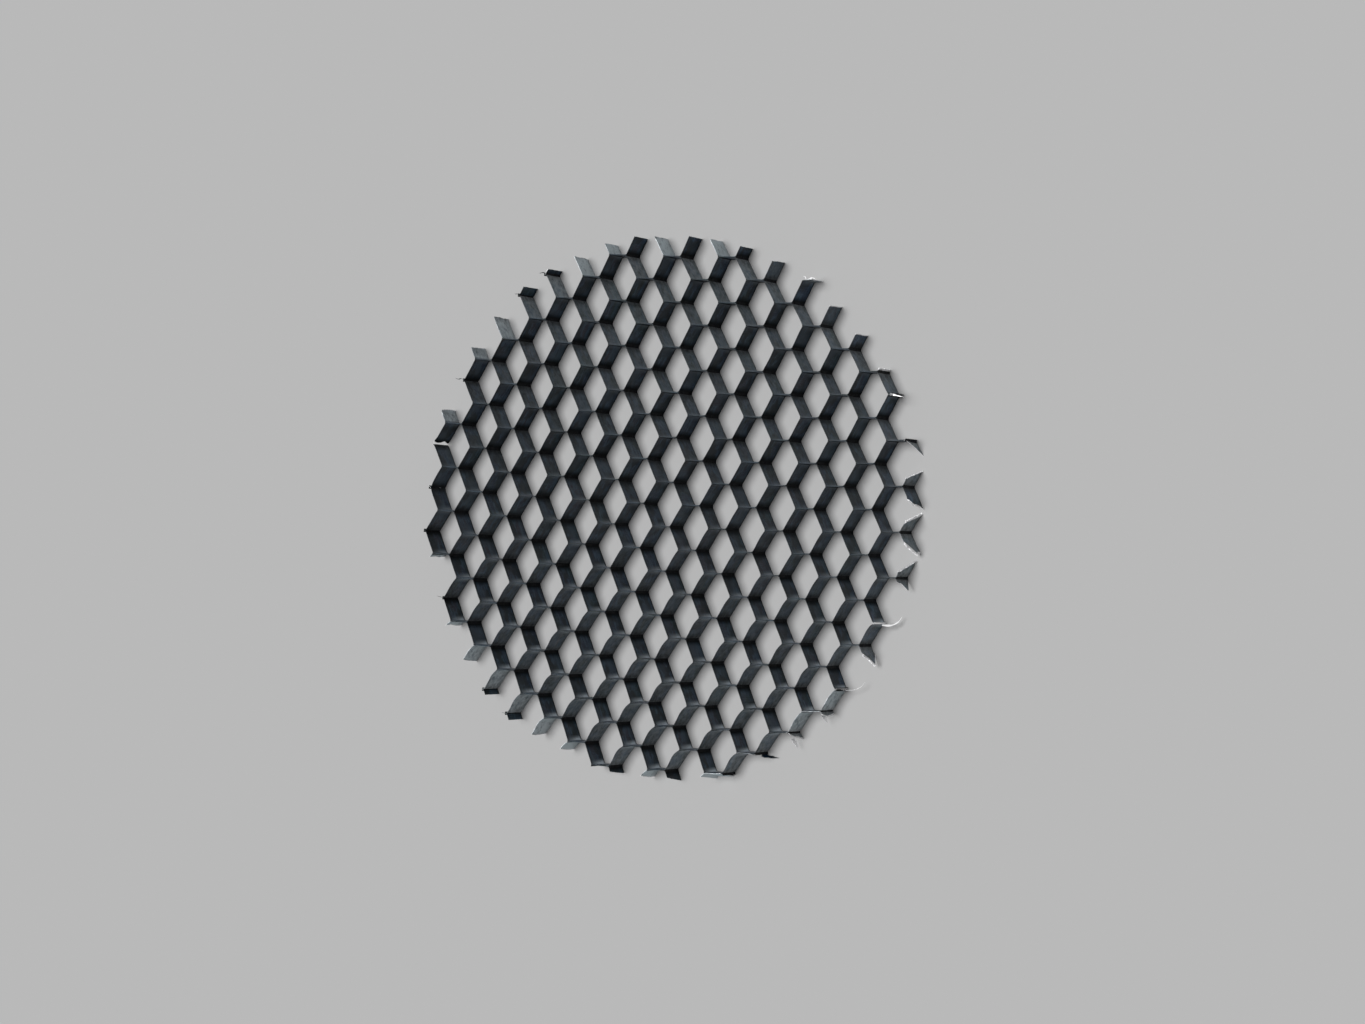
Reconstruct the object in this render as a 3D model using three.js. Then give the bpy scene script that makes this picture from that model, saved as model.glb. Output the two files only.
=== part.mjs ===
// A round light-control grid cut from expanded aluminium honeycomb.
//
// The sheet is a stack of thin foil ribbons. Each ribbon zigzags: a flat node wall, a slanting free wall up,
// a flat node wall, a slanting free wall down. Neighbouring ribbons are glued together at their node walls, and
// what lies between the glued walls is a six-sided cell. The round cut goes through ribbons and glue lines
// alike, so every ribbon ends where the shears met it, and short severed strips stay glued on at the rim.
//
// X runs along the ribbons, Y across them (the way the stack was pulled open), Z through the sheet.
import * as THREE from "three";

// ---- driving dimensions, in millimetres ----
const CELL = 9.52; // across a cell between its two node walls: the nominal three-eighths-inch cell
const DEPTH = 6.35; // thickness of the slice sawn off the block: a quarter of an inch
const FOIL = 0.08; // one foil with its coating
const GLUE = 0.03; // adhesive between two node walls
const ALONG = 6.59; // half a cell's pitch along a ribbon
const ACROSS = CELL / 2; // from one node line to the next

// ---- the pull was not even, so the net of cells is slightly bowed ----
const CENTRE_LINE = 12.7; // the disc's middle, counted in node lines from the -Y edge
const NODE_HALF = 0.31; // half a node wall, as a share of ALONG
const COLUMN_LEAN = 0.14; // sideways shift of a column of cells for each row
const COLUMN_BOW = -0.022; // and its curve, for each row squared
const COLUMN_FAN = -0.01; // the columns spread a little towards -Y
const ROW_SLOPE = 0.061; // rise of a row for each half pitch
const ROW_BOW = 0.018; // the rows sag in the middle
const ROW_FAN = -0.0036;
const ROW_GROWTH = 0.0039; // the cells open wider towards +Y

// ---- where the cut ended each strip, in half pitches from the middle column ----
// One line per ribbon, from the -Y edge up: ribbon 1 is the first that runs through.
const RIBBON_ENDS = [
  [-2.5, 4.35],
  [-3.66, 5.44],
  [-4.76, 6.4],
  [-5.75, 7.0],
  [-6.63, 7.05],
  [-7.42, 7.67],
  [-7.74, 8.0],
  [-7.74, 8.05],
  [-8.39, 8.58],
  [-8.76, 8.63],
  [-8.76, 8.69],
  [-8.76, 8.65],
  [-8.74, 8.7],
  [-8.76, 8.58],
  [-8.74, 8.58],
  [-8.54, 8.31],
  [-7.74, 8.1],
  [-7.74, 8.1],
  [-7.51, 7.36],
  [-6.68, 6.56],
  [-5.76, 5.66],
  [-4.77, 5.05],
  [-3.64, 3.64],
];

// Strips that the cut severed from their ribbon. Each is held by the one node wall it still has.
const SEVERED = [
  { row: 0, from: -1.31, to: -0.56 },
  { row: 0, from: 0.52, to: 1.5 },
  { row: 0, from: 2.61, to: 3.33 },
  { row: 2, from: -4.76, to: -4.58 },
  { row: 3, from: -5.75, to: -5.6 },
  { row: 22, from: -5.76, to: -5.54 },
  { row: 23, from: -4.77, to: -4.6 },
  { row: 24, from: -2.5, to: -1.37 },
  { row: 24, from: -0.64, to: 0.65 },
  { row: 24, from: 1.39, to: 2.49 },
];

// A point of the net: u half pitches along, on node line n (fractions lie between lines).
function netPoint(u, n) {
  const r = n - CENTRE_LINE;
  return new THREE.Vector2(
    ALONG * u + COLUMN_LEAN * r + COLUMN_BOW * r * r + COLUMN_FAN * u * r,
    ACROSS * r + ROW_SLOPE * u + ROW_BOW * u * u + ROW_FAN * u * r + ROW_GROWTH * r * r,
  );
}

// The node line that a ribbon touches at column k. The ribbon of row j runs between lines j and j + 1,
// and keeps half a foil and half a glue line away from both.
function touchedLine(row, k) {
  const clear = (FOIL + GLUE) / 2 / ACROSS;
  const low = (k + row) % 2 === 0;
  return low ? row + clear : row + 1 - clear;
}

// The middle of a ribbon's foil at u half pitches.
function ribbonPoint(row, u) {
  const k = Math.round(u);
  const away = u - k;
  const here = touchedLine(row, k);
  const past = Math.abs(away) - NODE_HALF;
  if (past <= 0) return netPoint(u, here);
  const next = touchedLine(row, k + Math.sign(away));
  const share = past / (1 - 2 * NODE_HALF);
  return netPoint(u, here + (next - here) * share);
}

// The corners of a strip's middle line between two cuts: the cuts, and every bend between them.
function middleLine(row, from, to) {
  const stops = [from];
  for (let k = Math.floor(from); k <= Math.ceil(to); k++) {
    for (const bend of [k - NODE_HALF, k + NODE_HALF]) {
      if (bend > from && bend < to) stops.push(bend);
    }
  }
  stops.push(to);
  return stops.map((u) => ribbonPoint(row, u));
}

// The outline of a foil around its middle line, with mitred bends and square ends.
function foilOutline(line) {
  const sides = line.map((p, i) => {
    const before = line[Math.max(i - 1, 0)];
    const after = line[Math.min(i + 1, line.length - 1)];
    const arriving = (i > 0 ? p.clone().sub(before) : after.clone().sub(p)).normalize();
    const leaving = (i < line.length - 1 ? after.clone().sub(p) : p.clone().sub(before)).normalize();
    const along = arriving.clone().add(leaving).normalize();
    const mitre = FOIL / 2 / along.dot(arriving);
    return new THREE.Vector2(-along.y, along.x).multiplyScalar(mitre);
  });
  const left = line.map((p, i) => p.clone().add(sides[i]));
  const right = line.map((p, i) => p.clone().sub(sides[i]));
  return new THREE.Shape([...right, ...left.reverse()]);
}

const coatedFoil = {
  color: 0x20282e,
  roughness: 0.5,
  metalness: 0.6,
};

function foilStrip(name, row, from, to) {
  const outline = foilOutline(middleLine(row, from, to));
  const geometry = new THREE.ExtrudeGeometry(outline, { depth: DEPTH, bevelEnabled: false });
  const strip = new THREE.Mesh(geometry, new THREE.MeshStandardMaterial(coatedFoil));
  strip.name = name;
  return strip;
}

const grid = new THREE.Group();
RIBBON_ENDS.forEach(([from, to], i) => {
  const number = String(i + 1).padStart(2, "0");
  grid.add(foilStrip("foil_ribbon_" + number, i + 1, from, to));
});
SEVERED.forEach(({ row, from, to }, i) => {
  const number = String(i + 1).padStart(2, "0");
  grid.add(foilStrip("severed_strip_" + number, row, from, to));
});

// The origin is the middle of the underside's box.
const middle = new THREE.Box3().setFromObject(grid).getCenter(new THREE.Vector3());
grid.position.set(-middle.x, -middle.y, 0);

export default grid;
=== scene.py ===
import math
import random

import bmesh
import bpy
from mathutils import Euler, Matrix, Vector


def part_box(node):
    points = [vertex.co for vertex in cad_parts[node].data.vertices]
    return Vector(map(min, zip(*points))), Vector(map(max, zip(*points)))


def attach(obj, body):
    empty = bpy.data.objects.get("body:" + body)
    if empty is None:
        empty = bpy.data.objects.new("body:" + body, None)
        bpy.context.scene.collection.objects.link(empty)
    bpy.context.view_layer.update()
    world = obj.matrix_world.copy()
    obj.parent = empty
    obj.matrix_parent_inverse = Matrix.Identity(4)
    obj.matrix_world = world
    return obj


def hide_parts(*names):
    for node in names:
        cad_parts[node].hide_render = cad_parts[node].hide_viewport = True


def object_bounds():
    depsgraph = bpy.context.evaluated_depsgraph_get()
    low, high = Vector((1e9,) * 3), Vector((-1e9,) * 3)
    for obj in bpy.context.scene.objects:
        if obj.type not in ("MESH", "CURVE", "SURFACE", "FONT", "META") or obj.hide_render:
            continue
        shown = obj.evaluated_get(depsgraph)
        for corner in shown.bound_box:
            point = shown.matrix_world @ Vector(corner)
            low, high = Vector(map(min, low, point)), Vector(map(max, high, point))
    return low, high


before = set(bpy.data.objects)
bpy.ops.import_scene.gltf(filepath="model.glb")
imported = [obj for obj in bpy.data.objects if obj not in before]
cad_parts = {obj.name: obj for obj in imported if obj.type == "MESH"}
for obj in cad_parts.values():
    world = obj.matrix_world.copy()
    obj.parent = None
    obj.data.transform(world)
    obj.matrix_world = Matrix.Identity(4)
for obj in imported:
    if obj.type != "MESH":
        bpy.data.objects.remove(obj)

cad_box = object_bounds()


# ---------------------------------------------------------------- camera
# A long lens looks down on the sheet from over its +X edge, 26 degrees off plumb,
# so that every wall shows its full depth. It is rolled a little, as a hand-held copy stand is.
def stand_camera():
    from_plumb = math.radians(26)
    roll = math.radians(3.3)
    distance = 0.7677
    looks_at = Vector((0.00363, -0.00066, cad_box[1].z / 2))
    back = Vector((math.sin(from_plumb), 0, math.cos(from_plumb)))
    right = Vector((0, 1, 0)).cross(back)
    level = Matrix((right, back.cross(right), back)).transposed()
    lens = bpy.data.cameras.new("copy_camera")
    lens.sensor_width = 36
    lens.lens = 94.95
    lens.clip_start = 0.01
    lens.clip_end = 20
    camera = bpy.data.objects.new("copy_camera", lens)
    camera.matrix_world = (
        Matrix.Translation(looks_at + back * distance)
        @ (level @ Matrix.Rotation(roll, 3, "Z")).to_4x4()
    )
    bpy.context.scene.collection.objects.link(camera)
    bpy.context.scene.camera = camera


stand_camera()


def add_node(tree, kind, inputs=None, **settings):
    """A node of one kind. inputs maps socket names or numbers to sockets to link or values to set."""
    node = tree.nodes.new(kind)
    for name, value in settings.items():
        setattr(node, name, value)
    for key, value in (inputs or {}).items():
        if isinstance(value, bpy.types.NodeSocket):
            tree.links.new(value, node.inputs[key])
        else:
            node.inputs[key].default_value = value
    return node


def calc(tree, operation, *values):
    """The result of one sum on numbers or sockets."""
    return add_node(tree, "ShaderNodeMath", dict(enumerate(values)), operation=operation).outputs[0]


def shader(name):
    """An empty material's tree with its Principled shader, and the material."""
    material = bpy.data.materials.new(name)
    material.use_nodes = True
    return material, material.node_tree, material.node_tree.nodes["Principled BSDF"]


# ---------------------------------------------------------------- floor and light
# A pale seamless table. The light is one very broad soft box, almost overhead and a little towards -X and +Y,
# so that it reaches the table inside the cells, with a faint even sky around it.
def lay_floor():
    half = 3.0
    mesh = bpy.data.meshes.new("floor")
    corners = [(-half, -half, 0), (half, -half, 0), (half, half, 0), (-half, half, 0)]
    mesh.from_pydata(corners, [], [(0, 1, 2, 3)])
    floor = bpy.data.objects.new("floor", mesh)
    bpy.context.scene.collection.objects.link(floor)
    material, tree, surface = shader("floor_paper")
    surface.inputs["Base Color"].default_value = (0.42, 0.42, 0.42, 1)
    surface.inputs["Roughness"].default_value = 0.95
    surface.inputs["Specular IOR Level"].default_value = 0.0
    mesh.materials.append(material)


def light_studio():
    world = bpy.data.worlds.new("studio_sky")
    world.use_nodes = True
    sky = world.node_tree.nodes["Background"]
    sky.inputs["Color"].default_value = (1, 1, 1, 1)
    sky.inputs["Strength"].default_value = 0.1
    bpy.context.scene.world = world
    lamp = bpy.data.lights.new("soft_lamp", "SUN")
    lamp.energy = 3.36
    lamp.angle = math.radians(29)
    holder = bpy.data.objects.new("soft_lamp", lamp)
    comes_from = Vector((-0.13, 0.09, 1.0))
    holder.rotation_mode = "QUATERNION"
    holder.rotation_quaternion = (-comes_from).to_track_quat("-Z", "Y")
    bpy.context.scene.collection.objects.link(holder)
    bpy.context.scene.view_settings.view_transform = "Standard"


lay_floor()
light_studio()


# ---------------------------------------------------------------- foil ribbons
# Strips of aluminium foil, three thousandths of an inch thick, that zigzag from node wall to node wall.
# They were sawn from a glued stack, pulled open and dipped in a thin black coating. The rim was cut by
# hand, so the ends are torn, and the coating has cracked off some of them.
MM = 0.001
FREE_WALL = 5.38 * MM
NODE_WALL = 4.09 * MM
NODE_SLOPE = 0.6
CURL_REACH = 2.4 * MM
HEIGHTS = ("Low", "Lower", "Upper", "Top")
SHARP = math.radians(40)
BARE_METAL = (0.97, 0.97, 0.98, 1)


def middle_line(node):
    """The corners of a strip's middle line, from -X to +X, on the underside of its CAD solid."""
    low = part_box(node)[0].z
    spots = {
        (round(v.co.x, 7), round(v.co.y, 7))
        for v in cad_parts[node].data.vertices
        if v.co.z < low + MM
    }
    sides = [Vector((x, y, 0)) for x, y in sorted(spots)]
    return [(a + b) / 2 for a, b in zip(sides[::2], sides[1::2])]


def is_node_wall(a, b):
    return abs(b.y - a.y) < NODE_SLOPE * abs(b.x - a.x)


def wall_count(line):
    """A number at each corner that grows by one for each wall: a free wall runs from an even number to
    an odd one, and a node wall from odd to even. A wall that the cut has shortened has its share only."""
    steps = []
    for a, b in zip(line, line[1:]):
        whole = NODE_WALL if is_node_wall(a, b) else FREE_WALL
        steps.append((b - a).length / whole)
    first = 2 if is_node_wall(line[0], line[1]) else 1
    counts = [first - steps[0]] + [first + i for i in range(len(steps))]
    counts[-1] = counts[-2] + min(steps[-1], 1)
    return counts


def strip_tree():
    """Makes a closed foil strip along the middle line that it is given."""
    tree = bpy.data.node_groups.new("foil_strip", "GeometryNodeTree")
    sockets = tree.interface
    sockets.new_socket("Geometry", in_out="INPUT", socket_type="NodeSocketGeometry")
    sizes = {
        "Depth": 6.35 * MM,
        "Foil": 0.08 * MM,
        "Bend Radius": 0.34 * MM,
        "Step": 0.34 * MM,
        "Bow": 0.40 * MM,
        "Crumple": 0.07 * MM,
        "Burr": 0.06 * MM,
        "Jag": 0.22 * MM,
        "Lean": 0.0,
        "Pooling": 1.0,
        "Seed": 0.0,
    }
    for end in ("Start", "End"):
        for height in HEIGHTS:
            sizes[end + " Tear " + height] = 0.0
        for name in ("Curl", "Bright Edge", "Worn", "Worn Walls", "Cut"):
            sizes[end + " " + name] = 0.0
    for name, value in sizes.items():
        socket = sockets.new_socket(name, in_out="INPUT", socket_type="NodeSocketFloat")
        socket.default_value = value
    sockets.new_socket("Material", in_out="INPUT", socket_type="NodeSocketMaterial")
    sockets.new_socket("Geometry", in_out="OUTPUT", socket_type="NodeSocketGeometry")
    given = add_node(tree, "NodeGroupInput").outputs

    line = add_node(tree, "GeometryNodeMeshToCurve", {"Mesh": given["Geometry"]})
    bent = add_node(
        tree,
        "GeometryNodeFilletCurve",
        {"Curve": line.outputs[0], "Count": 3, "Radius": given["Bend Radius"], "Limit Radius": True},
        mode="POLY",
    ).outputs[0]
    length = add_node(tree, "GeometryNodeCurveLength", {"Curve": bent}).outputs[0]
    steps = calc(tree, "CEIL", calc(tree, "DIVIDE", length, given["Step"]))
    blank = add_node(
        tree,
        "GeometryNodeMeshCube",
        {"Size": (1, 1, 1), "Vertices X": steps, "Vertices Y": 2, "Vertices Z": 14},
    ).outputs["Mesh"]
    spot = add_node(
        tree,
        "ShaderNodeSeparateXYZ",
        {0: add_node(tree, "GeometryNodeInputPosition").outputs[0]},
    ).outputs
    along = calc(tree, "MULTIPLY", calc(tree, "ADD", spot["X"], 0.5), length)
    high = calc(tree, "ADD", spot["Z"], 0.5)
    to_end = calc(tree, "SUBTRACT", length, along)

    def noise(x, y, z, scale, detail):
        """Noise about zero, from -0.5 to 0.5."""
        where = add_node(tree, "ShaderNodeCombineXYZ", {"X": x, "Y": y, "Z": z}).outputs[0]
        made = add_node(
            tree, "ShaderNodeTexNoise", {"Vector": where, "Scale": scale, "Detail": detail}
        )
        return calc(tree, "SUBTRACT", made.outputs[0], 0.5)

    def ramp(value, start, end, at_start, at_end, kind="SMOOTHSTEP"):
        return add_node(
            tree,
            "ShaderNodeMapRange",
            {"Value": value, "From Min": start, "From Max": end, "To Min": at_start, "To Max": at_end},
            interpolation_type=kind,
        ).outputs[0]

    def tear(end, distance, offset):
        """How far the torn edge is pulled back, at each height, and what is left of that further along."""
        depths = [given[end + " Tear " + height] for height in HEIGHTS]
        deep, furthest = depths[0], depths[0]
        for i, (below, above) in enumerate(zip(depths, depths[1:])):
            rise = calc(tree, "SUBTRACT", above, below)
            share = ramp(high, i / 3, (i + 1) / 3, 0.0, 1.0, "LINEAR")
            deep = calc(tree, "ADD", deep, calc(tree, "MULTIPLY", rise, share))
            furthest = calc(tree, "MAXIMUM", furthest, above)
        seed = calc(tree, "ADD", given["Seed"], offset)
        ragged = calc(tree, "MULTIPLY", noise(seed, 0.0, high, 6.0, 4.0), given["Jag"])
        deep = calc(tree, "ADD", deep, calc(tree, "MULTIPLY", ragged, 2.0))
        reach = calc(tree, "ADD", calc(tree, "MULTIPLY", furthest, 1.5), 0.8 * MM)
        return deep, calc(tree, "MULTIPLY", ramp(distance, 0.0, reach, 1.0, 0.0, "LINEAR"), deep)

    start_depth, from_start = tear("Start", along, 0.0)
    end_depth, from_end = tear("End", to_end, 7.3)
    pulled = calc(tree, "SUBTRACT", calc(tree, "ADD", along, from_start), from_end)
    counts = add_node(tree, "GeometryNodeInputNamedAttribute", {"Name": "walls"}, data_type="FLOAT")
    at = add_node(
        tree,
        "GeometryNodeSampleCurve",
        {"Curves": bent, "Value": counts.outputs[0], "Length": pulled},
        mode="LENGTH",
        data_type="FLOAT",
    ).outputs
    out = add_node(
        tree, "ShaderNodeVectorMath", {0: (0, 0, 1), 1: at["Tangent"]}, operation="CROSS_PRODUCT"
    ).outputs[0]
    place = add_node(tree, "ShaderNodeSeparateXYZ", {0: at["Position"]}).outputs
    heading = add_node(tree, "ShaderNodeSeparateXYZ", {0: at["Tangent"]}).outputs
    rising = ramp(heading["Y"], 0.1, 0.4, 0.0, 1.0)
    in_pair = calc(tree, "MULTIPLY", calc(tree, "FRACT", calc(tree, "MULTIPLY", at["Value"], 0.5)), 2.0)

    # Rising walls sag into a bow near their upper end, more and more towards the sheet's -Y edge, where the
    # stack was pulled less. The other free walls stay almost flat.
    slack = ramp(place["Y"], -0.056, 0.012, 1.0, 0.0)
    uneven = noise(place["X"], place["Y"], 0.0, 110.0, 1.0)
    swell = calc(tree, "ADD", calc(tree, "MULTIPLY", slack, rising), calc(tree, "MULTIPLY", uneven, 0.7))
    later = calc(tree, "POWER", calc(tree, "MINIMUM", in_pair, 1.0), 1.6)
    arch = calc(tree, "MAXIMUM", calc(tree, "SINE", calc(tree, "MULTIPLY", later, math.pi)), 0.0)
    upright = calc(tree, "ADD", calc(tree, "MULTIPLY", high, 0.8), 0.2)
    bow = calc(tree, "MULTIPLY", calc(tree, "MULTIPLY", arch, swell), given["Bow"])
    bow = calc(tree, "MULTIPLY", bow, upright)
    height = calc(tree, "MULTIPLY", high, given["Depth"])
    dents = calc(
        tree, "MULTIPLY", noise(place["X"], place["Y"], height, 380.0, 2.0), given["Crumple"]
    )

    def curl(end, distance):
        """The sideways curl of a torn end, which fades out over a stretch of the foil."""
        share = calc(tree, "POWER", ramp(distance, 0.0, CURL_REACH, 1.0, 0.0), 1.6)
        return calc(tree, "MULTIPLY", share, given[end + " Curl"])

    curls = calc(tree, "ADD", curl("Start", along), curl("End", to_end))
    lean = calc(tree, "MULTIPLY", calc(tree, "SUBTRACT", 1.0, high), given["Lean"])
    sideways = calc(tree, "MULTIPLY", spot["Y"], given["Foil"])
    for push in (bow, dents, curls, lean):
        sideways = calc(tree, "ADD", sideways, push)
    rough = calc(tree, "MULTIPLY", noise(pulled, spot["Z"], given["Seed"], 2600.0, 2.0), given["Burr"])
    edge = calc(tree, "POWER", calc(tree, "ABSOLUTE", calc(tree, "MULTIPLY", spot["Z"], 2.0)), 12.0)
    height = calc(tree, "ADD", height, calc(tree, "MULTIPLY", rough, edge))
    height = calc(tree, "MAXIMUM", height, 0.0)
    shift = add_node(
        tree, "ShaderNodeVectorMath", {0: out, "Scale": sideways}, operation="SCALE"
    ).outputs[0]
    lift = add_node(tree, "ShaderNodeCombineXYZ", {"Z": height}).outputs[0]
    moved = add_node(
        tree,
        "ShaderNodeVectorMath",
        {0: add_node(tree, "ShaderNodeVectorMath", {0: at["Position"], 1: shift}).outputs[0], 1: lift},
    ).outputs[0]

    # what the shader reads: bare metal along a torn edge, end walls painted grey, partly worn coat and partly
    # painted sheen, black in the sharp corner at each end of a node wall, partly pooled coating and partly
    # painted shade, and a painted glint over a fold
    def bright_edge(end, from_cut):
        """One at the torn edge, a half where its bright band ends, and less beyond."""
        band = given[end + " Bright Edge"]
        width = calc(tree, "MULTIPLY", calc(tree, "MAXIMUM", band, 1e-5), 2.0)
        share = calc(tree, "DIVIDE", from_cut, width)
        fading = calc(tree, "MAXIMUM", calc(tree, "SUBTRACT", 1.0, share), -3.0)
        return calc(tree, "MULTIPLY", fading, calc(tree, "GREATER_THAN", band, 1e-5))

    bright = calc(
        tree,
        "MAXIMUM",
        bright_edge("Start", calc(tree, "SUBTRACT", pulled, start_depth)),
        bright_edge("End", calc(tree, "SUBTRACT", calc(tree, "SUBTRACT", length, pulled), end_depth)),
    )
    start_walls = calc(tree, "SUBTRACT", at["Value"], given["Start Cut"])
    end_walls = calc(tree, "SUBTRACT", given["End Cut"], at["Value"])
    # painted sheen and wear: the end walls at the rim are turned grey, partly worn coat and partly painted
    # sheen where they face the bright table with no wall in front
    worn = calc(
        tree,
        "ADD",
        calc(
            tree,
            "MULTIPLY",
            calc(tree, "LESS_THAN", start_walls, given["Start Worn Walls"]),
            given["Start Worn"],
        ),
        calc(
            tree,
            "MULTIPLY",
            calc(tree, "LESS_THAN", end_walls, given["End Worn Walls"]),
            given["End Worn"],
        ),
    )
    side = calc(tree, "SUBTRACT", calc(tree, "MULTIPLY", rising, -2.0), -1.0)
    to_plus_x = calc(tree, "MULTIPLY", spot["Y"], side)
    faces_plus_x = calc(tree, "GREATER_THAN", to_plus_x, 0.0)
    # painted shade: the coat is blackened beside the sharp corner at each end of a node wall, partly coating
    # that pooled there and partly the shade that falls in the crease
    from_corner = calc(
        tree,
        "ABSOLUTE",
        calc(tree, "SUBTRACT", calc(tree, "SUBTRACT", 1.0, faces_plus_x), in_pair),
    )
    pooled = ramp(from_corner, 0.06, 0.28, 1.0, 0.0, "LINEAR")
    pooled = calc(tree, "MULTIPLY", pooled, given["Pooling"])
    # painted glint: the fold at the end of each free wall is painted lighter on its face towards +X, more
    # towards the sheet's -Y edge and the underside, in place of a grazing reflection of the bright table
    from_fold = calc(tree, "ABSOLUTE", calc(tree, "SUBTRACT", in_pair, 1.0))
    thinned = ramp(from_fold, 0.0, 0.2, 1.0, 0.0, "LINEAR")
    thinned = calc(tree, "MULTIPLY", calc(tree, "POWER", thinned, 1.5), faces_plus_x)
    glint_strength = calc(tree, "ADD", calc(tree, "MULTIPLY", slack, 0.85), 0.15)
    glint_strength = calc(tree, "MULTIPLY", glint_strength, calc(tree, "SUBTRACT", 1.15, high))
    thinned = calc(tree, "MULTIPLY", thinned, glint_strength)

    made = blank
    kept = {
        "along": pulled,
        "high": high,
        "bright": bright,
        "worn": worn,
        "pooled": pooled,
        "thinned": thinned,
    }
    for name, value in kept.items():
        made = add_node(
            tree,
            "GeometryNodeStoreNamedAttribute",
            {"Geometry": made, "Name": name, "Value": value},
            data_type="FLOAT",
            domain="POINT",
        ).outputs[0]
    # The attributes are stored before the points move, because they read where the points were.
    made = add_node(tree, "GeometryNodeSetPosition", {"Geometry": made, "Position": moved}).outputs[0]
    made = add_node(tree, "GeometryNodeRealizeInstances", {"Geometry": made}).outputs[0]
    made = add_node(
        tree, "GeometryNodeSetMaterial", {"Geometry": made, "Material": given["Material"]}
    ).outputs[0]
    add_node(tree, "NodeGroupOutput", {"Geometry": made})
    return tree


def mix_colour(tree, factor, a, b):
    """Colour a going over to colour b, both of them colours or sockets."""
    node = add_node(tree, "ShaderNodeMix", {0: factor}, data_type="RGBA")
    for key, value in ((6, a), (7, b)):
        if isinstance(value, bpy.types.NodeSocket):
            tree.links.new(value, node.inputs[key])
        else:
            node.inputs[key].default_value = value
    return node.outputs[2]


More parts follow.
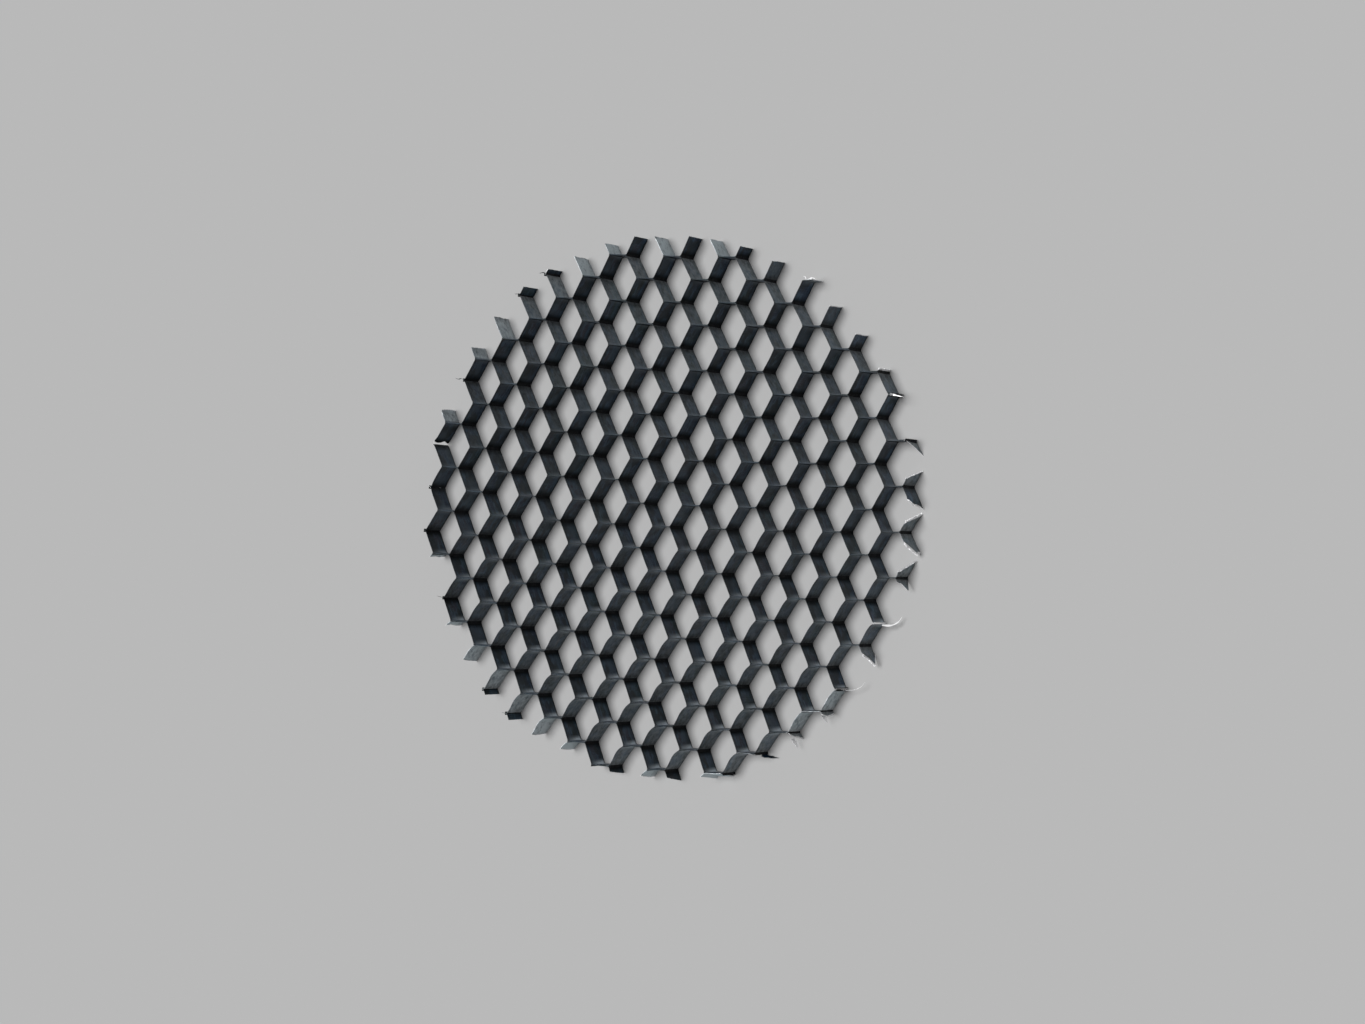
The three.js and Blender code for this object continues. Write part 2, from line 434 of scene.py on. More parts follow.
def coat_grain():
    """Shared by everything that was dipped: the coating's colour and gloss, which change over the surface,
    with painted shade towards the underside and in the node corners, and a painted glint at the folds.
    """
    group = bpy.data.node_groups.new("coat_grain", "ShaderNodeTree")
    amounts = {
        "Along": 0.0,
        "High": 0.5,
        "Edge Black": 0.75,
        "Hue Drift": 1.0,
        "Pooled": 0.0,
        "Thinned": 0.0,
    }
    for name, value in amounts.items():
        socket = group.interface.new_socket(name, in_out="INPUT", socket_type="NodeSocketFloat")
        socket.default_value = value
    for name, kind in (
        ("Color", "NodeSocketColor"),
        ("Roughness", "NodeSocketFloat"),
        ("Height", "NodeSocketFloat"),
    ):
        group.interface.new_socket(name, in_out="OUTPUT", socket_type=kind)
    given = add_node(group, "NodeGroupInput").outputs
    spot = add_node(group, "ShaderNodeTexCoord").outputs["Object"]

    def noise(vector, scale, detail, rough=0.5):
        return add_node(
            group,
            "ShaderNodeTexNoise",
            {"Vector": vector, "Scale": scale, "Detail": detail, "Roughness": rough},
        ).outputs[0]

    def ramp(value, start, end):
        return add_node(
            group,
            "ShaderNodeMapRange",
            {"Value": value, "From Min": start, "From Max": end},
            interpolation_type="SMOOTHSTEP",
        ).outputs[0]

    # rolling marks run along the foil, fainter drips run through its depth
    rolled = add_node(
        group,
        "ShaderNodeCombineXYZ",
        {
            "X": calc(group, "MULTIPLY", given["Along"], 300.0),
            "Y": calc(group, "MULTIPLY", given["High"], 5.5),
        },
    ).outputs[0]
    dripped = add_node(
        group,
        "ShaderNodeCombineXYZ",
        {
            "X": calc(group, "MULTIPLY", given["Along"], 3600.0),
            "Y": calc(group, "MULTIPLY", given["High"], 2.0),
            "Z": 7.0,
        },
    ).outputs[0]
    streaks = noise(rolled, 1.0, 4.0, 0.65)
    drips = noise(dripped, 1.0, 3.0, 0.6)
    cloud = noise(spot, 300.0, 2.0)
    tint = noise(spot, 150.0, 1.0)
    warmth = noise(spot, 117.0, 1.0)
    fleck = noise(spot, 2600.0, 2.0, 0.7)
    patch = noise(spot, 190.0, 1.0)
    blue = (0.003, 0.020, 0.070, 1)
    green = (0.004, 0.036, 0.046, 1)
    brown = (0.030, 0.024, 0.052, 1)
    to_green = calc(group, "MULTIPLY", ramp(tint, 0.44, 0.56), given["Hue Drift"])
    base = mix_colour(group, to_green, blue, green)
    to_brown = calc(group, "MULTIPLY", ramp(warmth, 0.5, 0.62), given["Hue Drift"])
    base = mix_colour(group, to_brown, base, brown)
    lighter_streaks_and_rim_sheen = calc(group, "MULTIPLY", ramp(streaks, 0.44, 0.6), 0.75)
    base = mix_colour(group, lighter_streaks_and_rim_sheen, base, (0.064, 0.135, 0.215, 1))
    dripping = calc(group, "MULTIPLY", ramp(drips, 0.48, 0.66), 0.5)
    base = mix_colour(group, dripping, base, (0.068, 0.12, 0.18, 1))
    clouded = calc(group, "MULTIPLY", ramp(cloud, 0.46, 0.58), 0.75)
    base = mix_colour(group, clouded, base, (0.001, 0.004, 0.008, 1))
    patched = calc(group, "MULTIPLY", ramp(patch, 0.5, 0.66), 0.6)
    base = mix_colour(group, patched, base, (0.058, 0.10, 0.150, 1))
    # painted shade: the coat darkens towards the underside of every wall, deep in the cell where less light
    # reaches
    painted_underside_shade = calc(group, "MULTIPLY", calc(group, "SUBTRACT", 1.0, given["High"]), 0.4)
    base = mix_colour(group, painted_underside_shade, base, (0.003, 0.008, 0.012, 1))
    # painted glint: along the folds the coat is mixed towards a pale blue-grey, streaked
    painted_sheen_and_wear = calc(group, "MULTIPLY", given["Thinned"], calc(group, "ADD", streaks, 0.9))
    base = mix_colour(group, painted_sheen_and_wear, base, (0.7, 0.78, 0.85, 1))
    from_middle = calc(group, "ABSOLUTE", calc(group, "SUBTRACT", given["High"], 0.5))
    rim = calc(group, "MULTIPLY", ramp(from_middle, 0.37, 0.465), given["Edge Black"])
    black = (0.0015, 0.002, 0.0025, 1)
    base = mix_colour(group, rim, base, black)
    # painted shade: the node corners go black, partly pooled coating and partly the shade of the crease
    base = mix_colour(group, given["Pooled"], base, black)
    gloss = calc(group, "ADD", calc(group, "MULTIPLY", streaks, 0.24), calc(group, "MULTIPLY", cloud, 0.18))
    gloss = calc(group, "ADD", gloss, 0.22)
    gloss = calc(group, "ADD", gloss, calc(group, "MULTIPLY", given["Pooled"], 0.35))
    bumps = calc(group, "ADD", calc(group, "MULTIPLY", streaks, 0.6), calc(group, "MULTIPLY", fleck, 0.25))
    bumps = calc(group, "ADD", bumps, calc(group, "MULTIPLY", drips, 0.25))
    add_node(group, "NodeGroupOutput", {"Color": base, "Roughness": gloss, "Height": bumps})
    return group


def coated_foil(grain_group):
    """Thin black coating on aluminium foil, painted grey on the rim's walls, partly worn coat and partly
    painted sheen, with bright metal where it tore.
    """
    material, tree, surface = shader("coated_foil")
    grain = add_node(tree, "ShaderNodeGroup", node_tree=grain_group)
    read = {
        name: add_node(tree, "ShaderNodeAttribute", attribute_name=name).outputs["Fac"]
        for name in ("along", "high", "bright", "worn", "pooled", "thinned")
    }
    for name in ("along", "high", "pooled", "thinned"):
        tree.links.new(read[name], grain.inputs[name.capitalize()])
    spot = add_node(tree, "ShaderNodeTexCoord").outputs["Object"]
    where = add_node(tree, "ShaderNodeSeparateXYZ", {0: spot}).outputs

    # painted sheen: the outer walls are painted lighter, mostly on the side that faces out along Y, in place
    # of their reflection of the bright table beyond the rim
    facing = add_node(
        tree,
        "ShaderNodeSeparateXYZ",
        {0: add_node(tree, "ShaderNodeNewGeometry").outputs["Normal"]},
    ).outputs["Y"]
    outward = calc(tree, "MULTIPLY", facing, calc(tree, "DIVIDE", where["Y"], cad_box[1].y))
    lighter_streaks_and_rim_sheen = add_node(
        tree,
        "ShaderNodeMapRange",
        {"Value": outward, "From Min": -0.1, "From Max": 0.5, "To Min": 0.0, "To Max": 0.34},
    ).outputs[0]
    scuffs = add_node(
        tree, "ShaderNodeTexNoise", {"Vector": spot, "Scale": 900.0, "Detail": 4.0, "Roughness": 0.7}
    ).outputs[0]
    # painted sheen and wear: the rim sheen and the worn end walls together turn the coat grey and partly
    # metallic
    painted_sheen_and_wear = calc(tree, "ADD", lighter_streaks_and_rim_sheen, read["worn"])
    patchy = calc(tree, "SUBTRACT", calc(tree, "MULTIPLY", scuffs, 3.6), 0.75)
    grey = calc(tree, "MULTIPLY", painted_sheen_and_wear, calc(tree, "MAXIMUM", patchy, 0.1))
    grey = calc(tree, "MINIMUM", grey, 1.0)
    bright = add_node(
        tree,
        "ShaderNodeMapRange",
        {
            "Value": calc(tree, "ADD", read["bright"], calc(tree, "MULTIPLY", scuffs, 0.6)),
            "From Min": 0.74,
            "From Max": 0.9,
        },
    ).outputs[0]
    colour = mix_colour(tree, grey, grain.outputs["Color"], (0.50, 0.53, 0.55, 1))
    colour = mix_colour(tree, bright, colour, BARE_METAL)
    tree.links.new(colour, surface.inputs["Base Color"])
    metal = calc(tree, "MULTIPLY", grey, calc(tree, "SUBTRACT", 0.65, calc(tree, "MULTIPLY", bright, 0.5)))
    tree.links.new(metal, surface.inputs["Metallic"])
    tree.links.new(grain.outputs["Roughness"], surface.inputs["Roughness"])
    relief = add_node(
        tree,
        "ShaderNodeBump",
        {"Strength": 0.9, "Distance": 0.07 * MM, "Height": grain.outputs["Height"]},
    )
    tree.links.new(relief.outputs[0], surface.inputs["Normal"])
    surface.inputs["Specular IOR Level"].default_value = 0.14
    surface.inputs["Specular Tint"].default_value = (0.7, 0.93, 1.0, 1)
    return material


def grown(name, start_mesh, tree, material, values):
    """Runs a Geometry Nodes tree on a start mesh and leaves the result as a plain mesh object."""
    piece = bpy.data.objects.new(name, start_mesh)
    bpy.context.scene.collection.objects.link(piece)
    nodes = piece.modifiers.new("grown", "NODES")
    nodes.node_group = tree
    keys = {s.name: s.identifier for s in tree.interface.items_tree if s.in_out == "INPUT"}
    nodes[keys["Material"]] = material
    for key, value in values.items():
        nodes[keys[key]] = value
    bpy.context.view_layer.update()
    evaluated = piece.evaluated_get(bpy.context.evaluated_depsgraph_get())
    plain = bpy.data.meshes.new_from_object(evaluated)
    piece.modifiers.remove(nodes)
    piece.data = plain
    plain.name = name
    plain.shade_smooth()
    plain.set_sharp_from_angle(angle=SHARP)
    return piece


# How each end of a strip was torn, in millimetres. First how far the cut is pulled back at the underside,
# a third up, two thirds up and at the top face; then the curl to +Y and the width of the bright torn edge;
# last how far the end walls are painted grey (0 to 1), partly worn coat and partly painted sheen, and over
# how many walls.
TORN_STARTS = {
    "foil_ribbon_01": (0.2, 0.0, 0.1, 0.3, 0.1, 0.08, 0.85, 1),
    "foil_ribbon_02": (0.3, 0.1, 0.0, 0.2, 0.1, 0.08, 0.8, 1),
    "foil_ribbon_03": (0.1, 0.0, 0.0, 0.2, 0.0, 0.0, 0.3, 2),
    "foil_ribbon_04": (0.0, 0.1, 0.0, 0.0, 0.0, 0.0, 0.42, 2),
    "foil_ribbon_05": (0.0, 0.1, 0.2, 0.4, 0.1, 0.08, 0.68, 1),
    "foil_ribbon_06": (0.2, 0.0, 0.3, 0.1, 0.1, 0.15, 0.85, 1),
    "foil_ribbon_09": (0.3, 0.0, 0.2, 0.0, 0.2, 0.12, 0.7, 1),
    "foil_ribbon_12": (0.3, 0.0, 0.4, 0.2, 0.2, 0.1, 0.3, 1),
    "foil_ribbon_13": (0.0, 0.4, 0.0, 0.3, -0.2, 0.1, 0.4, 1),
    "foil_ribbon_14": (0.0, 0.2, 0.0, 0.1, -0.1, 0.12, 0.3, 1),
    "foil_ribbon_15": (0.2, 0.9, 0.1, 0.7, 0.2, 0.08, 0.1, 1),
    "foil_ribbon_16": (0.1, 0.0, 0.1, 0.3, 0.1, 0.08, 0.6, 1),
    "foil_ribbon_19": (0.0, 0.1, 0.1, 0.2, 0.1, 0.0, 0.5, 1),
    "foil_ribbon_20": (0.1, 0.2, 0.0, 0.1, 0.1, 0.0, 0.6, 1),
    "foil_ribbon_21": (0.0, 0.0, 0.1, 0.0, 0.0, 0.0, 0.1, 2),
    "foil_ribbon_22": (0.0, 0.0, 0.1, 0.0, 0.0, 0.0, 0.15, 2),
    "foil_ribbon_23": (0.2, 0.0, 0.1, 0.0, 0.0, 0.0, 0.7, 1),
    "severed_strip_02": (0.2, 0.0, 0.2, 0.4, 0.0, 0.1, 0.8, 1),
    "severed_strip_04": (0.1, 0.0, 0.2, 0.0, 0.0, 0.0, 0.1, 1),
    "severed_strip_07": (0.0, 0.1, 0.0, 0.3, 0.2, 0.1, 0.1, 1),
    "severed_strip_08": (0.1, 0.0, 0.0, 0.2, 0.0, 0.0, 0.65, 1),
    "severed_strip_09": (0.1, 0.0, 0.1, 0.0, 0.0, 0.0, 0.7, 1),
    "severed_strip_10": (0.0, 0.1, 0.0, 0.1, 0.0, 0.0, 0.6, 1),
}
TORN_ENDS = {
    "foil_ribbon_01": (0.2, 0.4, 0.8, 0.9, -0.2, 0.0, 0.35, 2),
    "foil_ribbon_02": (0.0, 0.3, 0.5, 1.2, 0.3, 0.3, 0.4, 1),
    "foil_ribbon_03": (0.5, 0.1, 0.0, 0.4, 0.2, 0.2, 0.45, 3),
    "foil_ribbon_04": (1.8, 1.7, 1.7, 1.8, 0.0, 0.2, 0.62, 2),
    "foil_ribbon_05": (2.0, 1.9, 2.0, 2.0, 0.1, 0.1, 0.2, 1),
    "foil_ribbon_06": (2.3, 0.0, 1.5, 2.4, 0.2, 0.36, 0.3, 1),
    "foil_ribbon_07": (1.8, 1.8, 1.8, 1.9, -0.2, 0.2, 0.4, 1),
    "foil_ribbon_08": (1.8, 1.7, 1.8, 1.9, 0.0, 0.1, 0.2, 1),
    "foil_ribbon_09": (3.0, 0.5, 2.2, 2.6, -0.1, 0.08, 0.28, 1),
    "foil_ribbon_10": (0.3, 1.3, 2.2, 3.2, 0.2, 0.25, 0.3, 1),
    "foil_ribbon_11": (0.3, 0.0, 1.2, 2.4, 0.2, 0.42, 0.28, 1),
    "foil_ribbon_12": (0.2, 0.9, 1.6, 2.3, -0.2, 0.4, 0.3, 1),
    "foil_ribbon_13": (0.0, 0.9, 1.0, 2.1, -0.2, 0.28, 0.28, 1),
    "foil_ribbon_14": (0.0, 0.6, 1.2, 1.9, 0.2, 0.28, 0.28, 1),
    "foil_ribbon_15": (0.2, 1.7, 2.9, 3.7, 0.1, 0.1, 0.3, 1),
    "foil_ribbon_16": (0.0, 0.2, 0.0, 0.3, 0.1, 0.0, 0.1, 1),
    "foil_ribbon_17": (1.9, 1.9, 1.9, 1.8, 0.1, 0.1, 0.2, 1),
    "foil_ribbon_18": (1.9, 1.9, 1.9, 1.9, 0.1, 0.1, 0.2, 1),
    "foil_ribbon_19": (0.1, 0.0, 0.1, 0.0, 0.0, 0.45, 0.6, 1),
    "foil_ribbon_20": (0.0, 0.1, 0.0, 0.1, 0.0, 0.14, 0.05, 1),
    "foil_ribbon_21": (0.0, 0.1, 0.1, 0.2, 0.0, 0.06, 0.1, 1),
    "foil_ribbon_22": (0.4, 0.2, 0.5, 0.2, 0.2, 0.3, 0.5, 1),
    "foil_ribbon_23": (0.0, 0.0, 0.1, 0.2, 0.0, 0.0, 0.15, 1),
    "severed_strip_01": (0.0, 0.1, 0.3, 0.6, -0.1, 0.0, 0.0, 1),
    "severed_strip_02": (0.0, 0.2, 0.5, 0.9, 0.0, 0.0, 0.0, 1),
    "severed_strip_03": (0.4, 0.0, 0.2, 0.6, 0.1, 0.3, 0.9, 3),
}
# how far a strip's underside is pushed out of line, in millimetres, counted towards +Y
LEANING = {"severed_strip_03": -0.8}
# stubs are so short that the full black of a node corner, part pooled coating and part painted shade, would
# blacken them from end to end
STUBS = ("severed_strip_04", "severed_strip_05", "severed_strip_06", "severed_strip_07")
STUB_POOLING_AND_SHADE = 0.3


def foil_strip(node, seed, tree, material):
    line = middle_line(node)
    counts = wall_count(line)
    start = bpy.data.meshes.new(node + "_line")
    start.from_pydata(line, [(i, i + 1) for i in range(len(line) - 1)], [])
    start.attributes.new("walls", "FLOAT", "POINT").data.foreach_set("value", counts)
    values = {
        "Seed": float(seed),
        "Depth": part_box(node)[1].z,
        "Lean": LEANING.get(node, 0.0) * MM,
        "Pooling": STUB_POOLING_AND_SHADE if node in STUBS else 1.0,
        "Start Cut": counts[0],
        "End Cut": counts[-1],
    }
    for end, ends in (("Start", TORN_STARTS), ("End", TORN_ENDS)):
        *depths, curl, bright, worn, worn_and_sheen_walls = ends.get(node, (0, 0, 0, 0, 0, 0, 0, 0))
        for height, depth in zip(HEIGHTS, depths):
            values[end + " Tear " + height] = depth * MM
        values[end + " Curl"] = curl * MM
        values[end + " Bright Edge"] = bright * MM
        values[end + " Worn"] = float(worn)
        cut_wall = counts[1] - counts[0] if end == "Start" else counts[-1] - counts[-2]
        values[end + " Worn Walls"] = worn_and_sheen_walls - 1 + cut_wall
    name = node.replace("foil_", "").replace("strip_", "strip_foil_")
    piece = grown(name, start, tree, material, values)
    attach(piece, "root")
    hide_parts(node)
    return line


FIRST_SEED = 11
SEED_STEP = 3
foil_tree = strip_tree()
coating = coat_grain()
foil_black = coated_foil(coating)
lines = {
    node: foil_strip(node, FIRST_SEED + SEED_STEP * i, foil_tree, foil_black)
    for i, node in enumerate(sorted(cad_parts))
}


# ---------------------------------------------------------------- node adhesive
# The stripes of epoxy that bond the ribbons at their node walls. Pulling the stack open squeezed a small
# bead into the sharp corner at each end of a stripe; its near-black colour is partly coating that pooled on
# it and partly painted shade of the corner.
SHORTEST_BOND = 0.3 * MM
WIDEST_GAP = 0.5 * MM


def whole_part(node):
    """A strip's middle line without what the tears took off its ends at every height."""
    line = [point.copy() for point in lines[node]]
    for table, cut, inner in ((TORN_STARTS, 0, 1), (TORN_ENDS, -1, -2)):
        gone = min(table.get(node, (0,))[:4]) * MM
        line[cut] += (line[inner] - line[cut]).normalized() * gone
    return line


def bonded_walls():
    """The middle, the direction and the length of every pair of node walls that lie against each other."""
    walls = [
        (a, b)
        for line in map(whole_part, lines)
        for a, b in zip(line, line[1:])
        if is_node_wall(a, b)
    ]
    walls.sort(key=lambda wall: wall[0].y)
    bonds = []
    for i, (a, b) in enumerate(walls):
        for c, d in walls[i + 1 :]:
            shared_from, shared_to = max(a.x, c.x), min(b.x, d.x)
            apart = (c.y + d.y - a.y - b.y) / 2
            if shared_to - shared_from > SHORTEST_BOND and apart < WIDEST_GAP:
                middle = (a + b + c + d) / 4
                middle.x = (shared_from + shared_to) / 2
                turn = math.atan2(b.y - a.y, b.x - a.x)
                bonds.append((middle, turn, shared_to - shared_from))
    return bonds


def bead_tree():
    """Makes one adhesive stripe at every point: thin between the foils, flared to a bead at both ends."""
    tree = bpy.data.node_groups.new("adhesive_bead", "GeometryNodeTree")
    sockets = tree.interface
    sockets.new_socket("Geometry", in_out="INPUT", socket_type="NodeSocketGeometry")
    sizes = {
        "Depth": 6.35 * MM,
        "Stripe": NODE_WALL,
        "Glue": 0.03 * MM,
        "Bead Reach": 0.2 * MM,
        "Bead Root": 0.06 * MM,
        "Bead Slope": 1.35,
        "Hollow": 0.08 * MM,
        "Set Back": 0.04 * MM,
        "Crumple": 0.07 * MM,
    }
    for name, value in sizes.items():
        socket = sockets.new_socket(name, in_out="INPUT", socket_type="NodeSocketFloat")
        socket.default_value = value
    sockets.new_socket("Material", in_out="INPUT", socket_type="NodeSocketMaterial")
    sockets.new_socket("Geometry", in_out="OUTPUT", socket_type="NodeSocketGeometry")
    given = add_node(tree, "NodeGroupInput").outputs
    blank = add_node(
        tree,
        "GeometryNodeMeshCube",
        {"Size": (1, 1, 1), "Vertices X": 16, "Vertices Y": 4, "Vertices Z": 5},
    ).outputs["Mesh"]
    spot = add_node(
        tree,
        "ShaderNodeSeparateXYZ",
        {0: add_node(tree, "GeometryNodeInputPosition").outputs[0]},
    ).outputs
    # the cross sections crowd together towards the ends, where the shape changes
    crowded = calc(tree, "SINE", calc(tree, "MULTIPLY", spot["X"], math.pi))
    half = calc(tree, "ADD", calc(tree, "MULTIPLY", given["Stripe"], 0.5), given["Bead Reach"])
    x = calc(tree, "MULTIPLY", crowded, half)
    bend = calc(tree, "MULTIPLY", given["Stripe"], 0.5)
    past_bend = calc(tree, "SUBTRACT", calc(tree, "ABSOLUTE", x), bend)
    past_root = calc(tree, "MAXIMUM", calc(tree, "ADD", past_bend, given["Bead Root"]), 0.0)
    thick = calc(
        tree,
        "ADD",
        calc(tree, "MULTIPLY", given["Glue"], 0.5),
        calc(tree, "MULTIPLY", past_root, given["Bead Slope"]),
    )
    y = calc(tree, "MULTIPLY", calc(tree, "MULTIPLY", spot["Y"], 2.0), thick)
    # the free face of a bead is hollow, as the epoxy wetted both foils
    off_middle = calc(tree, "MULTIPLY", spot["Y"], 2.0)
    bulge = calc(tree, "SUBTRACT", 1.0, calc(tree, "POWER", off_middle, 2.0))
    at_end = calc(tree, "POWER", calc(tree, "ABSOLUTE", crowded), 40.0)
    inward = calc(tree, "MULTIPLY", calc(tree, "MULTIPLY", bulge, at_end), given["Hollow"])
    x = calc(tree, "SUBTRACT", x, calc(tree, "MULTIPLY", calc(tree, "SIGN", x), inward))
    tall = calc(tree, "SUBTRACT", given["Depth"], calc(tree, "MULTIPLY", given["Set Back"], 2.0))
    z = calc(tree, "MULTIPLY", calc(tree, "ADD", spot["Z"], 0.5), tall)
    z = calc(tree, "ADD", z, given["Set Back"])
    stripe = add_node(
        tree,
        "GeometryNodeSetPosition",
        {
            "Geometry": blank,
            "Position": add_node(tree, "ShaderNodeCombineXYZ", {"X": x, "Y": y, "Z": z}).outputs[0],
        },
    ).outputs[0]

    def read(name):
        return add_node(
            tree, "GeometryNodeInputNamedAttribute", {"Name": name}, data_type="FLOAT"
        ).outputs[0]

    laid = add_node(
        tree,
        "GeometryNodeInstanceOnPoints",
        {
            "Points": given["Geometry"],
            "Instance": stripe,
            "Rotation": add_node(tree, "ShaderNodeCombineXYZ", {"Z": read("turn")}).outputs[0],
            "Scale": add_node(
                tree, "ShaderNodeCombineXYZ", {"X": read("share"), "Y": 1.0, "Z": 1.0}
            ).outputs[0],
        },
    ).outputs[0]
    laid = add_node(tree, "GeometryNodeRealizeInstances", {"Geometry": laid}).outputs[0]
    dent = add_node(
        tree,
        "ShaderNodeTexNoise",
        {
            "Vector": add_node(tree, "GeometryNodeInputPosition").outputs[0],
            "Scale": 380.0,
            "Detail": 2.0,
        },
    ).outputs[0]
    dent = calc(tree, "MULTIPLY", calc(tree, "SUBTRACT", dent, 0.5), given["Crumple"])
    laid = add_node(
        tree,
        "GeometryNodeSetPosition",
        {"Geometry": laid, "Offset": add_node(tree, "ShaderNodeCombineXYZ", {"Y": dent}).outputs[0]},
    ).outputs[0]
    laid = add_node(
        tree, "GeometryNodeSetMaterial", {"Geometry": laid, "Material": given["Material"]}
    ).outputs[0]
    add_node(tree, "NodeGroupOutput", {"Geometry": laid})
    return tree


def epoxy_in_pooled_coat_and_shade(grain_group):
    """Epoxy under black coating: nearly black, partly pooled coating and partly painted shade of the corner,
    uneven, and duller than the foil's coat.
    """
    material, tree, surface = shader("node_adhesive")
    # painted shade: the epoxy is darkened nearly to black, partly pooled coating and partly the shade of the
    # corner
    grain = add_node(tree, "ShaderNodeGroup", {"High": 0.5, "Pooled": 0.93}, node_tree=grain_group)
    tree.links.new(grain.outputs["Color"], surface.inputs["Base Color"])
    spot = add_node(tree, "ShaderNodeTexCoord").outputs["Object"]
    lumps = add_node(
        tree, "ShaderNodeTexNoise", {"Vector": spot, "Scale": 1800.0, "Detail": 3.0}
    ).outputs[0]
    dull = add_node(
        tree,
        "ShaderNodeMapRange",
        {"Value": lumps, "From Min": 0.3, "From Max": 0.7, "To Min": 0.5, "To Max": 0.8},
    ).outputs[0]
    tree.links.new(dull, surface.inputs["Roughness"])
    relief = add_node(
        tree, "ShaderNodeBump", {"Strength": 0.5, "Distance": 0.05 * MM, "Height": lumps}
    )
    tree.links.new(relief.outputs[0], surface.inputs["Normal"])
    surface.inputs["Specular IOR Level"].default_value = 0.1
    return material


def lay_adhesive():
    bonds = bonded_walls()
    start = bpy.data.meshes.new("bond_points")
    start.from_pydata([middle for middle, turn, length in bonds], [], [])
    start.attributes.new("turn", "FLOAT", "POINT").data.foreach_set("value", [bond[1] for bond in bonds])
    shares = [bond[2] / NODE_WALL for bond in bonds]
    start.attributes.new("share", "FLOAT", "POINT").data.foreach_set("value", shares)
    piece = grown("node_adhesive", start, bead_tree(), epoxy_in_pooled_coat_and_shade(coating), {"Depth": cad_box[1].z})
    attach(piece, "root")


lay_adhesive()


# ---------------------------------------------------------------- torn slivers
# Whiskers of foil that the shears left hanging from the rim. Each is a thin tapered strip, curled and
# twisted. On some the coating has cracked off and bright metal shows, others are still black. Crumbs of
# bare metal also stick to a few of the torn edges.
def bare_aluminium():
    """Torn aluminium: bright, with grey smudges of coating left on it."""
    material, tree, surface = shader("bare_aluminium")
    spot = add_node(tree, "ShaderNodeTexCoord").outputs["Object"]
    smudge = add_node(
        tree, "ShaderNodeTexNoise", {"Vector": spot, "Scale": 1300.0, "Detail": 4.0, "Roughness": 0.7}
    ).outputs[0]
    left = add_node(
        tree, "ShaderNodeMapRange", {"Value": smudge, "From Min": 0.58, "From Max": 0.72}
    ).outputs[0]
    colour = mix_colour(tree, left, BARE_METAL, (0.12, 0.13, 0.14, 1))
    tree.links.new(colour, surface.inputs["Base Color"])
    surface.inputs["Metallic"].default_value = 0.2
    rough = calc(tree, "ADD", calc(tree, "MULTIPLY", smudge, 0.4), 0.2)
    tree.links.new(rough, surface.inputs["Roughness"])
    relief = add_node(
        tree, "ShaderNodeBump", {"Strength": 0.4, "Distance": 0.03 * MM, "Height": smudge}
    )
    tree.links.new(relief.outputs[0], surface.inputs["Normal"])
    return material


def smooth_route(points, steps):
    """So many steps along a smooth curve through the given points."""
    padded = [points[0] * 2 - points[1], *points, points[-1] * 2 - points[-2]]
    route = []
    for i in range(steps + 1):
        share = i / steps
        reach = min(share * (len(points) - 1), len(points) - 1 - 1e-6)
        k = int(reach)
        t = reach - k
        a, b, c, d = padded[k : k + 4]
        route.append(
            (a * (-t + 2 * t**2 - t**3) + b * (2 - 5 * t**2 + 3 * t**3)) / 2
            + (c * (t + 4 * t**2 - 3 * t**3) + d * (t**3 - t**2)) / 2
        )
    return route


def torn_sliver(name, root, route, width, lie, twist, material, slot):
    """A tapered strip of foil. The route is in mm from the end of its ribbon, and the width is at its root.
    There it lies over by so many degrees from upright, and the twist is added on the way to its point."""
    steps = 18
    thick = 0.05 * MM
    points = smooth_route([root + Vector(p) * MM for p in route], steps)
    vertices = []
    for i, point in enumerate(points):
        share = i / steps
        ahead = points[min(i + 1, steps)] - points[max(i - 1, 0)]
        turned = Matrix.Rotation(math.radians(lie + twist * share), 3, ahead.normalized())
        up = turned @ Vector((0, 0, 1))
        across = ahead.normalized().cross(up).normalized()
        ragged = 1 + 0.25 * math.sin(17 * share + len(name) + route[-1][0])
        half_width = up * width * MM / 2 * (1 - share**1.5 * 0.96) * ragged
        half_thick = across * thick / 2 * (1 - share * 0.6)
        for corner in (
            half_width + half_thick,
            half_width - half_thick,
            -half_width - half_thick,
            half_thick - half_width,
        ):
            vertices.append(point + corner)
    faces = [(3, 2, 1, 0)]
    for ring in range(0, 4 * steps, 4):
        for k in range(4):
            after = (k + 1) % 4
            faces.append((ring + k, ring + after, ring + 4 + after, ring + 4 + k))
    faces.append(tuple(range(4 * steps, 4 * steps + 4)))
    mesh = bpy.data.meshes.new(name)
    mesh.from_pydata(vertices, [], faces)
    outwards = bmesh.new()
    outwards.from_mesh(mesh)
    bmesh.ops.recalc_face_normals(outwards, faces=outwards.faces)
    outwards.to_mesh(mesh)
    outwards.free()
    mesh.shade_smooth()
    mesh.set_sharp_from_angle(angle=SHARP)
    mesh.materials.append(material)
    sliver = bpy.data.objects.new(name, mesh)
    bpy.context.scene.collection.objects.link(sliver)
    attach(sliver, "root")


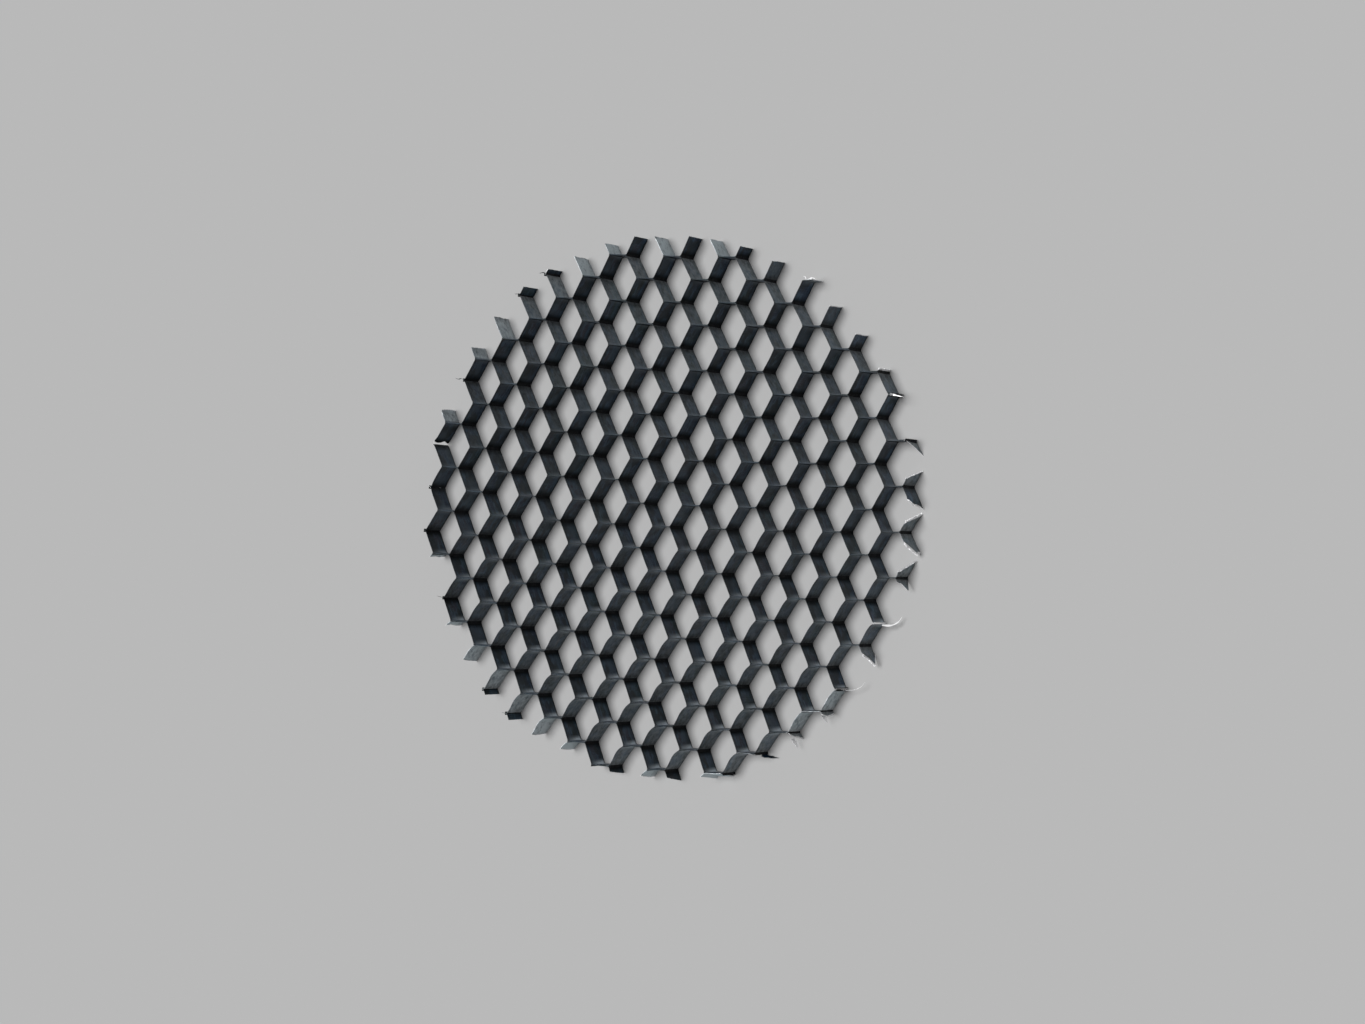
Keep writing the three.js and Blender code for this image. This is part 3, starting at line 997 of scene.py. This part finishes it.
# strip, its end, the route in mm from the middle of the cut's underside, the width in mm, how far it lies
# over and its twist in degrees, and whether the metal is bare
SLIVERS = [
    (
        "foil_ribbon_17",
        "end",
        [(-2.4, 0.0, 5.9), (-1.2, -0.2, 5.8), (0.5, -0.5, 5.5)],
        0.42,
        75,
        5,
        True,
    ),
    (
        "foil_ribbon_07",
        "end",
        [(-1.2, -0.5, 3.2), (0.5, -0.45, 2.6), (1.8, 0.3, 2.0), (2.5, 1.5, 1.6)],
        0.48,
        60,
        20,
        True,
    ),
    (
        "foil_ribbon_04",
        "end",
        [(-1.9, -0.1, 3.4), (0.6, 0.0, 2.8), (2.2, 0.8, 2.4), (2.9, 1.8, 2.2)],
        0.36,
        0,
        20,
        True,
    ),
    (
        "foil_ribbon_01",
        "end",
        [(-0.9, -0.1, 1.2), (0.9, -0.3, 0.8), (2.6, -0.4, 0.4)],
        0.9,
        40,
        20,
        False,
    ),
    (
        "foil_ribbon_22",
        "end",
        [(-1.2, 0.1, 5.9), (-0.5, 0.5, 5.6), (0.3, 0.2, 5.2)],
        0.4,
        60,
        40,
        True,
    ),
    (
        "foil_ribbon_22",
        "end",
        [(-1.7, 0.2, 6.0), (-1.9, 0.6, 5.9), (-2.4, 0.8, 5.8)],
        0.3,
        60,
        40,
        True,
    ),
    (
        "foil_ribbon_03",
        "end",
        [(-0.9, 0.1, 3.8), (-0.6, -0.4, 3.6), (-0.3, -0.9, 3.3), (-0.2, -1.4, 3.1)],
        1.4,
        5,
        15,
        True,
    ),
    (
        "foil_ribbon_02",
        "end",
        [(-0.8, 0.2, 3.2), (-0.4, -0.5, 2.9), (0.0, -1.2, 2.7), (0.2, -1.7, 2.5)],
        1.6,
        5,
        15,
        True,
    ),
    (
        "foil_ribbon_18",
        "start",
        [(0.1, 0.0, 5.8), (-0.8, 0.25, 5.9), (-1.4, 0.1, 5.8), (-2.2, 0.3, 5.9)],
        0.3,
        0,
        70,
        False,
    ),
    (
        "foil_ribbon_08",
        "start",
        [(0.1, 0.0, 5.7), (-0.8, 0.1, 5.8), (-1.7, 0.25, 5.8)],
        0.34,
        0,
        40,
        False,
    ),
    (
        "severed_strip_07",
        "start",
        [(0.1, 0.1, 5.6), (-0.6, 0.3, 5.8), (-1.5, 0.1, 5.9)],
        0.34,
        20,
        40,
        False,
    ),
    (
        "severed_strip_07",
        "start",
        [(0.1, 0.0, 5.9), (0.5, 0.9, 6.0), (1.3, 1.1, 6.1)],
        0.3,
        40,
        40,
        True,
    ),
    (
        "severed_strip_06",
        "start",
        [(0.1, 0.0, 5.5), (-0.5, 0.2, 5.7), (-1.2, 0.2, 5.7)],
        0.36,
        0,
        40,
        False,
    ),
    (
        "foil_ribbon_03",
        "start",
        [(0.1, 0.0, 5.2), (-0.6, -0.1, 5.3), (-1.3, 0.0, 5.4)],
        0.42,
        0,
        40,
        False,
    ),
    (
        "foil_ribbon_13",
        "start",
        [(0.1, 0.0, 5.9), (-0.3, 0.2, 5.8), (-0.6, 0.4, 5.6)],
        0.3,
        20,
        40,
        True,
    ),
    (
        "foil_ribbon_15",
        "start",
        [(0.2, -0.2, 5.6), (-0.3, 0.1, 5.4), (-0.5, 0.5, 5.2)],
        0.3,
        10,
        30,
        True,
    ),
]


# the ends whose torn edge is rough with bare flakes, and how large those are in mm
FLAKED_ENDS = {
    "foil_ribbon_12": 0.2,
    "foil_ribbon_11": 0.26,
    "foil_ribbon_13": 0.12,
    "foil_ribbon_14": 0.12,
    "foil_ribbon_10": 0.1,
    "foil_ribbon_06": 0.2,
    "foil_ribbon_19": 0.16,
}
FLAKES_PER_END = 22
FLAKE_THICK = 0.05 * MM


def back_from_end(line, way):
    """The point so far back along a line from its +X end."""
    for here, before in zip(line[::-1], line[-2::-1]):
        whole = (before - here).length
        if way <= whole:
            return here + (before - here) * (way / whole)
        way -= whole


def torn_flakes(material):
    """Crumbs of bare metal up the torn edges, each a small flat flake that lies any way up."""
    chance = random.Random(5)
    crumbs = bmesh.new()
    for node, size in FLAKED_ENDS.items():
        line = lines[node]
        depths = TORN_ENDS[node][:4]
        for i in range(FLAKES_PER_END):
            height = (i + 0.5) / FLAKES_PER_END
            level = min(int(height * 3), 2)
            share = height * 3 - level
            torn = depths[level] * (1 - share) + depths[level + 1] * share
            spot = back_from_end(line, (torn + 0.05) * MM)
            spot.z = height * cad_box[1].z
            turn = Euler([chance.uniform(-0.5, 0.5), chance.uniform(-0.5, 0.5), chance.uniform(0, 3)])
            wide = size * chance.uniform(0.7, 1.4)
            shape = Matrix.Diagonal((wide * 1.6 * MM, wide * MM, FLAKE_THICK, 1))
            bmesh.ops.create_cube(
                crumbs, size=1, matrix=Matrix.Translation(spot) @ turn.to_matrix().to_4x4() @ shape
            )
    mesh = bpy.data.meshes.new("torn_flakes")
    crumbs.to_mesh(mesh)
    crumbs.free()
    mesh.materials.append(material)
    flakes = bpy.data.objects.new("torn_flakes", mesh)
    bpy.context.scene.collection.objects.link(flakes)
    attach(flakes, "root")


def hang_slivers():
    bright = bare_aluminium()
    torn_flakes(bright)
    for i, (node, end, route, width, lie, twist, bare) in enumerate(SLIVERS, 1):
        root = lines[node][-1 if end == "end" else 0]
        finish = (bright, "bare_cut_edge") if bare else (foil_black, "coated_foil")
        torn_sliver(f"torn_sliver_{i:02d}", root, route, width, lie, twist, *finish)


hang_slivers()
